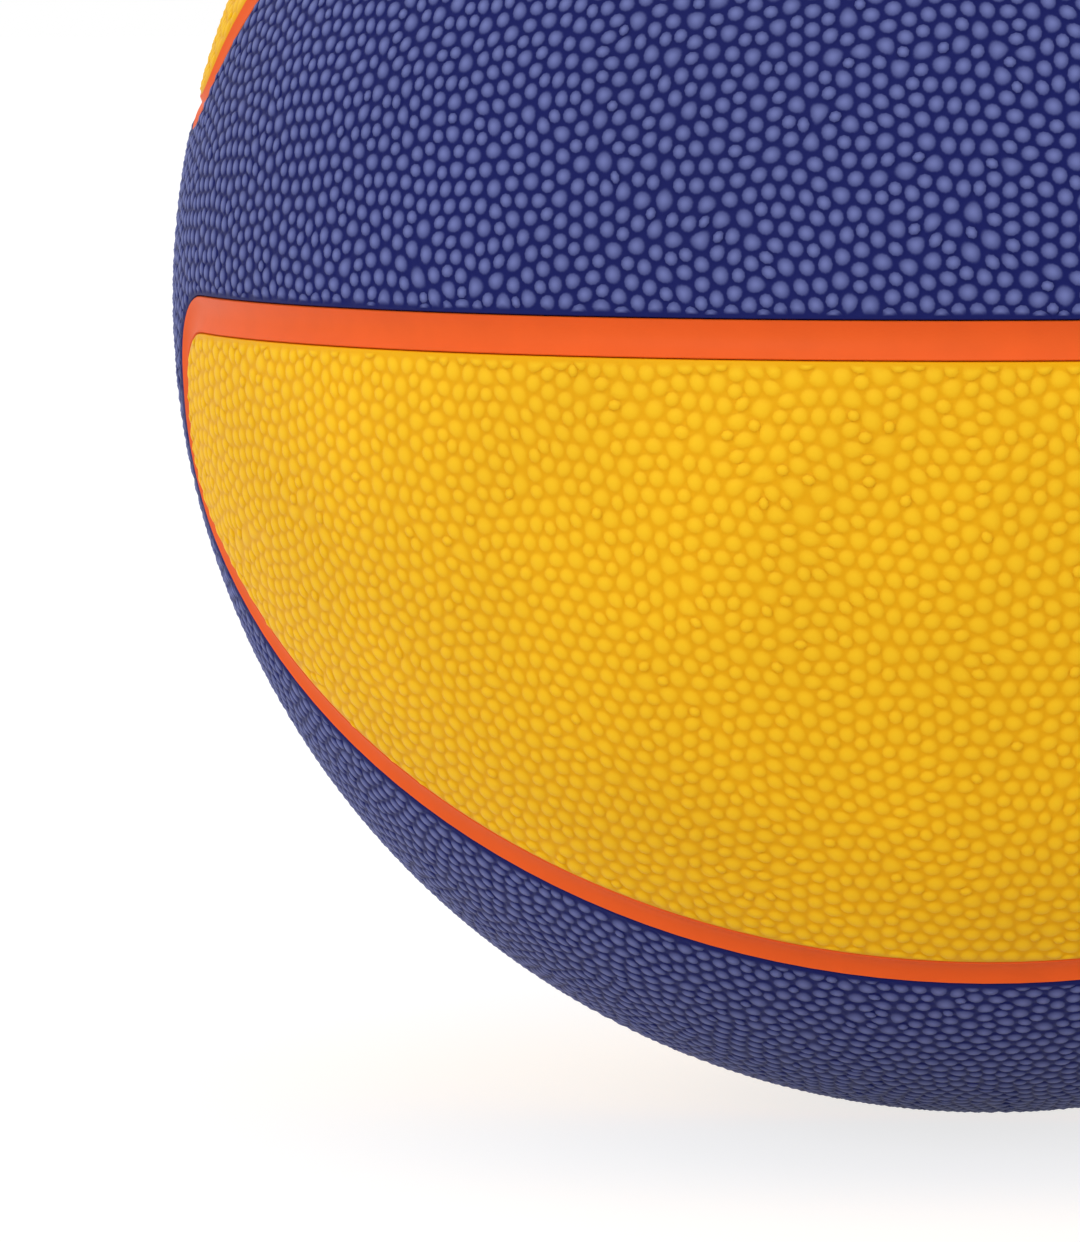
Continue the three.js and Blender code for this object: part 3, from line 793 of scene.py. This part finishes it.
def patchy(material, where, width, detail, spread):
    """Brightness that wanders from patch to patch, by a spread to each side of even."""
    cloud = add_node(
        material, "ShaderNodeTexNoise", {"Vector": where}, {"Scale": 1 / width, "Detail": detail}
    ).outputs["Fac"]
    limits = {"To Min": 1 - spread, "To Max": 1 + spread}
    return add_node(material, "ShaderNodeMapRange", {"Value": cloud}, limits).outputs[0]


def end_material(material, shader):
    """Links a material's shader to its output."""
    add_node(material, "ShaderNodeOutputMaterial", {"Surface": shader.outputs[0]})
    return material


def end_relief(material, tint, height, relief, surface):
    """Ends a material that has a colour and a fine relief, with the values for both."""
    bump = add_node(material, "ShaderNodeBump", {"Height": height}, relief)
    links = {"Base Color": tint.outputs[0], "Normal": bump.outputs[0]}
    return end_material(material, add_node(material, "ShaderNodeBsdfPrincipled", links, surface))


def leather(name, sizes, top, groove, blend, roughness, specular):
    """Embossed composite leather: a satin paint, with painted light on the pebbles' tops and painted
    shade deep in the grooves.

    The blend goes from top to groove, in pebble heights below the tops."""
    material, where = start_material(name)
    radius, height = sizes.diameter / 2, sizes.pebble_height
    level = add_node(material, "ShaderNodeVectorMath", {0: where}, operation="LENGTH").outputs["Value"]
    # Painted light and shade: the higher a point lies, the more it takes the tops' lit colour; the
    # lower, the grooves' shaded colour.
    rise = add_node(
        material,
        "ShaderNodeMapRange",
        {"Value": level},
        {"From Min": radius - height * blend[1], "From Max": radius - height * blend[0]},
        interpolation_type="SMOOTHSTEP",
    ).outputs[0]
    shade = patchy(material, where, LEATHER_CLOUD, detail=2, spread=0.1)
    # Mixes the grooves' painted shade with the tops' painted light over the leather's paint.
    paint = add_node(
        material, "ShaderNodeMix", {"Factor": rise}, {"A": groove, "B": top}, data_type="RGBA"
    )
    tint = add_node(
        material, "ShaderNodeHueSaturation", {"Color": paint.outputs["Result"], "Value": shade}
    )
    grain = add_node(
        material, "ShaderNodeTexNoise", {"Vector": where}, {"Scale": 1 / LEATHER_GRAIN, "Detail": 3}
    ).outputs["Fac"]
    relief = {"Strength": 0.15, "Distance": GRAIN_DEPTH}
    surface = {"Roughness": roughness, "IOR": 1.5, "Specular IOR Level": specular}
    return end_relief(material, tint, grain, relief, surface)


def rubber(name, paint, roughness, grain_size, specular=0.5):
    """Moulded rubber: a satin skin with faint cloudy patches and a fine grit from the mould."""
    material, where = start_material(name)
    shade = patchy(material, where, RUBBER_CLOUD, detail=3, spread=0.08)
    tint = add_node(material, "ShaderNodeHueSaturation", {"Value": shade}, {"Color": paint})
    grit = add_node(
        material, "ShaderNodeTexNoise", {"Vector": where}, {"Scale": 1 / grain_size, "Detail": 3}
    ).outputs["Fac"]
    relief = {"Strength": 0.2, "Distance": GRAIN_DEPTH}
    surface = {"Roughness": roughness, "IOR": 1.52, "Specular IOR Level": specular}
    return end_relief(material, tint, grit, relief, surface)


def sponge(name, paint, cell):
    """Cut sponge foam: a matt skin full of open cells, with painted shade darkening the hollows between
    pale walls.
    """
    material, where = start_material(name)
    holes = add_node(material, "ShaderNodeTexVoronoi", {"Vector": where}, {"Scale": 1 / cell})
    depth = add_node(
        material,
        "ShaderNodeMapRange",
        {"Value": holes.outputs["Distance"]},
        {"From Min": 0.1, "From Max": 0.5},
    ).outputs[0]
    # Painted shade: the deeper into a cell's hollow, the darker the foam.
    shade = add_node(
        material, "ShaderNodeMapRange", {"Value": depth}, {"To Min": 0.62, "To Max": 1.03}
    ).outputs[0]
    tint = add_node(material, "ShaderNodeHueSaturation", {"Value": shade}, {"Color": paint})
    relief = {"Strength": 0.6, "Distance": cell * 0.3}
    return end_relief(material, tint, depth, relief, {"Roughness": 0.92, "IOR": 1.5})


def wound_thread(name, paint, spacing):
    """Nylon thread wound every way round: fine satin strands that cross, darkened between them by
    painted shade.
    """
    material, where = start_material(name)
    scale = 2 * math.pi / (WAVE_RADIANS * spacing)
    strands = None
    for turn in THREAD_WAYS:
        layer = add_node(material, "ShaderNodeMapping", {"Vector": where}, {"Rotation": turn})
        wave = add_node(
            material,
            "ShaderNodeTexWave",
            {"Vector": layer.outputs[0]},
            {"Scale": scale, "Distortion": 1.5, "Detail": 1, "Detail Scale": 0.5},
        ).outputs["Fac"]
        if strands is None:
            strands = wave
        else:
            strands = add_node(
                material, "ShaderNodeMath", {0: strands, 1: wave}, operation="MAXIMUM"
            ).outputs[0]
    # Painted shade: darker in the gaps between the strands.
    shade = add_node(
        material, "ShaderNodeMapRange", {"Value": strands}, {"To Min": 0.55, "To Max": 1.0}
    ).outputs[0]
    tint = add_node(material, "ShaderNodeHueSaturation", {"Value": shade}, {"Color": paint})
    relief = {"Strength": 0.7, "Distance": spacing * 0.4}
    return end_relief(material, tint, strands, relief, {"Roughness": 0.55, "IOR": 1.53})


# Operators


def lay_leather(sizes, colour_name, cuts, material, seed):
    """Models each shape of panel of one colour and lays its copies on the ball."""
    slot = f"{colour_name}_leather"
    sheet = pebble_sheet(sizes.diameter / 2, sizes.pebble_pitch, seed)
    for edges, turns in cuts:
        panel = model_panel(sizes, sheet, edges)
        for place, copy in copy_to_places(panel, turns).items():
            node = f"{colour_name}_panel_{place}"
            finish_piece(copy, f"{slot}_{place}", material, slot, "ball", node)
    bpy.data.objects.remove(sheet)


class BALL_OT_yellow_panels(Operator):
    """Models the four yellow panels of the cover"""

    bl_idname = "ball.yellow_panels"
    bl_label = "Yellow panels"

    def execute(self, context):
        sizes, colours = context.scene.ball_sizes, context.scene.ball_colours
        # The yellow's tops carry painted light and its grooves painted shade.
        material = leather(
            "yellow_embossed_leather",
            sizes,
            colours.yellow_top_painted_light,
            colours.yellow_groove_painted_shade,
            blend=(0.1, 0.9),
            roughness=0.5,
            specular=0.12,
        )
        lay_leather(sizes, "yellow", yellow_cuts(sizes, sizes.lip), material, sizes.pebble_seed)
        return {"FINISHED"}


class BALL_OT_blue_panels(Operator):
    """Models the four blue panels of the cover, one of them with the valve's hole"""

    bl_idname = "ball.blue_panels"
    bl_label = "Blue panels"

    def execute(self, context):
        sizes, colours = context.scene.ball_sizes, context.scene.ball_colours
        # The blue's tops carry a painted sheen and its grooves painted shade.
        material = leather(
            "blue_embossed_leather",
            sizes,
            colours.blue_top_painted_sheen,
            colours.blue_groove_painted_shade,
            blend=(0, 0.8),
            roughness=0.5,
            specular=0.09,
        )
        cuts = blue_cuts(sizes, sizes.lip, sizes.butt_lip)
        lay_leather(sizes, "blue", cuts, material, sizes.pebble_seed + 1)
        return {"FINISHED"}


class BALL_OT_foam_pads(Operator):
    """Models the pad of sponge foam under each panel of the cover"""

    bl_idname = "ball.foam_pads"
    bl_label = "Foam pads"

    def execute(self, context):
        sizes, colours = context.scene.ball_sizes, context.scene.ball_colours
        material = sponge("open_cell_sponge_foam", colours.foam, cell=0.9 * MM)
        all_cuts = {
            "yellow": yellow_cuts(sizes, FOAM_ROUNDING),
            "blue": blue_cuts(sizes, FOAM_ROUNDING, FOAM_ROUNDING),
        }
        sheet = pebble_sheet(sizes.diameter / 2, FOAM_CELL, sizes.pebble_seed)
        for colour_name, cuts in all_cuts.items():
            for edges, turns in cuts:
                pad = model_pad(sizes, sheet, edges)
                for place, copy in copy_to_places(pad, turns).items():
                    name, node = f"{colour_name}_sponge_{place}", f"{colour_name}_foam_{place}"
                    finish_piece(copy, name, material, "sponge_foam", "ball", node)
        bpy.data.objects.remove(sheet)
        return {"FINISHED"}


CORNER_STEPS, EDGE_STEPS, END_STEPS = 12, 60, 14  # along a strip
DISH_STEPS = 10  # across it
STRIP_ROUNDING = 0.15 * MM


def strip_section(sizes):
    """Outline of a strip's dished section: distances across it and depths below the pebbles."""
    reach = sizes.channel_width / 2 - sizes.strip_gap
    flat = reach - STRIP_ROUNDING
    dip = sizes.floor_depth - sizes.side_depth
    shares = np.linspace(-1, 1, DISH_STEPS + 1)
    dish = [(flat * share, sizes.floor_depth - dip * share * share) for share in shares]
    side = sizes.side_depth + STRIP_ROUNDING
    bottom = sizes.cover_thickness + sizes.foam_gap + sizes.foam_thickness
    return [(-reach, bottom), (-reach, side), *dish, (reach, side), (reach, bottom)]


class BALL_OT_channel_strips(Operator):
    """Models the rubber strips that line the channels"""

    bl_idname = "ball.channel_strips"
    bl_label = "Channel strips"

    def execute(self, context):
        sizes, colours = context.scene.ball_sizes, context.scene.ball_colours
        radius = sizes.diameter / 2
        line, ways = ChannelEdge(sizes, 0, YELLOW, 0, 0).path(CORNER_STEPS, EDGE_STEPS, END_STEPS)
        section = strip_section(sizes)
        bpy.ops.object.select_all(action="DESELECT")
        bpy.ops.mesh.primitive_torus_add(
            major_segments=len(line),
            minor_segments=len(section),
            major_radius=radius,
            minor_radius=sizes.channel_width / 2,
        )
        strip = start_piece("channel_strip")
        points = np.empty((len(line), len(section), 3))
        for at, (across, depth) in enumerate(section):
            moved = slid(line, ways, np.full(len(line), across))
            points[:, at] = unit(moved) * (radius - depth)
        put(strip, points.reshape(-1, 3))
        face_outward()
        bpy.ops.object.shade_smooth_by_angle(angle=SOFT_EDGE)
        material = rubber(
            "orange_moulded_rubber", colours.channel, roughness=0.5, grain_size=0.4 * MM, specular=0.2
        )
        turns = next(yellow_cuts(sizes, 0))[1]
        for place, copy in copy_to_places(strip, turns).items():
            name, node = f"orange_channel_{place}", f"channel_strip_{place}"
            finish_piece(copy, name, material, "orange_rubber", "ball", node)
        return {"FINISHED"}


class BALL_OT_valve(Operator):
    """Models the rubber valve and its plug"""

    bl_idname = "ball.valve"
    bl_label = "Valve"

    def execute(self, context):
        sizes, colours = context.scene.ball_sizes, context.scene.ball_colours
        turn = sum(places_round(sizes)[VALVE_PLACE])
        for name, profile, paint, body, node in (
            ("valve_rubber", housing_profile, colours.valve, "ball", "valve_housing"),
            ("plug_rubber", plug_profile, colours.plug, "plug", "valve_plug"),
        ):
            piece = spun(name, profile(sizes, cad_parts[node], turn), sizes.valve_rounding)
            piece.rotation_euler.x = math.pi / 2 - turn
            bpy.ops.object.transform_apply(location=False, rotation=True, scale=False)
            material = rubber(f"moulded_{name}", paint, roughness=0.5, grain_size=0.3 * MM)
            finish_piece(piece, f"turned_{node}", material, name, body, node)
        return {"FINISHED"}


CARCASS_PAINT, THREAD_PAINT = linear("26262A"), linear("E4DDCC")
BLADDER_PAINT, PATCH_PAINT = linear("1C1C1F"), linear("6D4A32")


class BALL_OT_inner_layers(Operator):
    """Gives the layers under the foam their finishes"""

    bl_idname = "ball.inner_layers"
    bl_label = "Inner layers"

    def execute(self, context):
        finishes = {
            "carcass": rubber(
                "moulded_carcass_rubber", CARCASS_PAINT, roughness=0.7, grain_size=0.6 * MM
            ),
            "thread_winding": wound_thread("wound_nylon_thread", THREAD_PAINT, spacing=0.8 * MM),
            "bladder": rubber(
                "dipped_butyl_rubber", BLADDER_PAINT, roughness=0.6, grain_size=0.6 * MM
            ),
            "valve_patch": rubber(
                "calendered_patch_rubber", PATCH_PAINT, roughness=0.7, grain_size=0.5 * MM
            ),
        }
        for name, material in finishes.items():
            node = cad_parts[name]
            node.data.materials.clear()
            node.data.materials.append(material)
        return {"FINISHED"}


CAMERA_DISTANCE = 0.889
CAMERA_RISE = math.radians(2.58)
CAMERA_RANGE = (0.01, 200)
LENS, FILM = 180.3, 36  # millimetres
PICTURE = (1080, 1242)
BALL_IN_PICTURE = (984.8, 299.2)  # from the upper left corner
FLOOR_RADIUS, FLOOR_CORNERS = 60, 128
FLOOR_GLOW = 0.76
AMBIENT = 0.84
WHITE = (1, 1, 1, 1)
SOFT_BOXES = (  # name, place, width and watts
    ("softbox_left", (-1.2, -1.9, 0.8), 1.6, 8.9),
    ("softbox_top", (-0.3, -0.7, 2.0), 1.6, 5.4),
)


def studio_paper(colours):
    """Matt white paper: it throws soft light back up, and looks white but for the ball's shadow."""
    material, _ = start_material("matt_studio_paper")
    paper = add_node(material, "ShaderNodeBsdfDiffuse", values={"Color": colours.floor})
    shade = add_node(material, "ShaderNodeBsdfDiffuse", values={"Color": colours.floor_shade})
    glow = add_node(material, "ShaderNodeEmission", values={"Strength": FLOOR_GLOW})
    look = add_node(material, "ShaderNodeAddShader", {0: shade.outputs[0], 1: glow.outputs[0]})
    rays = add_node(material, "ShaderNodeLightPath").outputs
    mix = paper
    for ray in ("Is Glossy Ray", "Is Camera Ray"):
        links = {0: rays[ray], 1: mix.outputs[0], 2: look.outputs[0]}
        mix = add_node(material, "ShaderNodeMixShader", links)
    return end_material(material, mix)


def lay_floor(sizes, colours):
    """Lays the paper floor under the ball."""
    bpy.ops.object.select_all(action="DESELECT")
    bpy.ops.mesh.primitive_circle_add(
        vertices=FLOOR_CORNERS,
        radius=FLOOR_RADIUS,
        fill_type="NGON",
        location=(0, 0, -sizes.diameter / 2),
    )
    floor = start_piece("studio_floor")
    floor.data.materials.append(studio_paper(colours))
    floor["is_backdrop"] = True


def light_studio(scene):
    """Lights the ball from all round and with soft boxes. The camera sees a white room."""
    world = bpy.data.worlds.new("studio")
    scene.world = world
    world.use_nodes = True
    world.node_tree.nodes.clear()
    seen = add_node(world, "ShaderNodeLightPath").outputs["Is Camera Ray"]
    dim = add_node(world, "ShaderNodeBackground", values={"Color": WHITE, "Strength": AMBIENT})
    white = add_node(world, "ShaderNodeBackground", values={"Color": WHITE, "Strength": 1})
    mix = add_node(world, "ShaderNodeMixShader", {0: seen, 1: dim.outputs[0], 2: white.outputs[0]})
    add_node(world, "ShaderNodeOutputWorld", {"Surface": mix.outputs[0]})
    for name, place, size, power in SOFT_BOXES:
        bpy.ops.object.light_add(type="AREA", location=place)
        light = bpy.context.object
        light.name = light.data.name = name
        light.data.size = size
        light.data.energy = power
        away = np.array(place) / np.linalg.norm(place)
        light.rotation_euler = (math.acos(away[2]), 0, math.atan2(away[1], away[0]) + math.pi / 2)


def place_camera(scene):
    """Puts the camera before the ball, turned aside so that the ball has its place in the picture."""
    place = (0, -CAMERA_DISTANCE * math.cos(CAMERA_RISE), CAMERA_DISTANCE * math.sin(CAMERA_RISE))
    aside = Vector((BALL_IN_PICTURE[0] - PICTURE[0] / 2, PICTURE[1] / 2 - BALL_IN_PICTURE[1]))
    to_ball = Vector((*aside, -LENS / FILM * PICTURE[1]))
    at_ball = Euler((math.pi / 2 - CAMERA_RISE, 0, 0)).to_quaternion()
    beside = at_ball @ to_ball.rotation_difference(Vector((0, 0, -1)))
    bpy.ops.object.camera_add(location=place, rotation=beside.to_euler())
    camera = bpy.context.object
    camera.data.lens, camera.data.sensor_width = LENS, FILM
    camera.data.clip_start, camera.data.clip_end = CAMERA_RANGE
    scene.camera = camera


class BALL_OT_stage(Operator):
    """Sets up the floor, the light and the camera"""

    bl_idname = "ball.stage"
    bl_label = "Stage"

    def execute(self, context):
        scene = context.scene
        scene.view_settings.view_transform = "Standard"
        lay_floor(scene.ball_sizes, scene.ball_colours)
        light_studio(scene)
        place_camera(scene)
        return {"FINISHED"}


class BALL_PT_panel(Panel):
    """The ball's pieces, sizes and colours"""

    bl_idname = "BALL_PT_panel"
    bl_label = "Basketball"
    bl_space_type = "VIEW_3D"
    bl_region_type = "UI"
    bl_category = "Basketball"

    def draw(self, context):
        for operator in OPERATORS:
            self.layout.operator(operator.bl_idname)
        for settings in (context.scene.ball_sizes, context.scene.ball_colours):
            box = self.layout.box()
            for name in settings.__annotations__:
                box.prop(settings, name)


OPERATORS = (
    BALL_OT_yellow_panels,
    BALL_OT_blue_panels,
    BALL_OT_foam_pads,
    BALL_OT_channel_strips,
    BALL_OT_valve,
    BALL_OT_inner_layers,
    BALL_OT_stage,
)
CLASSES = (BallSizes, BallColours, *OPERATORS, BALL_PT_panel)


def register():
    for cls in CLASSES:
        bpy.utils.register_class(cls)
    bpy.types.Scene.ball_sizes = PointerProperty(type=BallSizes)
    bpy.types.Scene.ball_colours = PointerProperty(type=BallColours)


def unregister():
    del bpy.types.Scene.ball_colours
    del bpy.types.Scene.ball_sizes
    for cls in reversed(CLASSES):
        bpy.utils.unregister_class(cls)


def main():
    """Builds the whole ball and its studio, and measures the boxes of the two models."""
    register()
    bpy.ops.object.select_all(action="DESELECT")
    bpy.ops.ball.yellow_panels()
    bpy.ops.ball.blue_panels()
    bpy.ops.ball.foam_pads()
    bpy.ops.ball.channel_strips()
    bpy.ops.ball.valve()
    bpy.ops.ball.inner_layers()
    bpy.ops.ball.stage()
    boxes = {"cad": CAD_BOX, "visual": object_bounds()}
    {name: [list(corner) for corner in box] for name, box in boxes.items()}


if __name__ == "__main__":
    main()
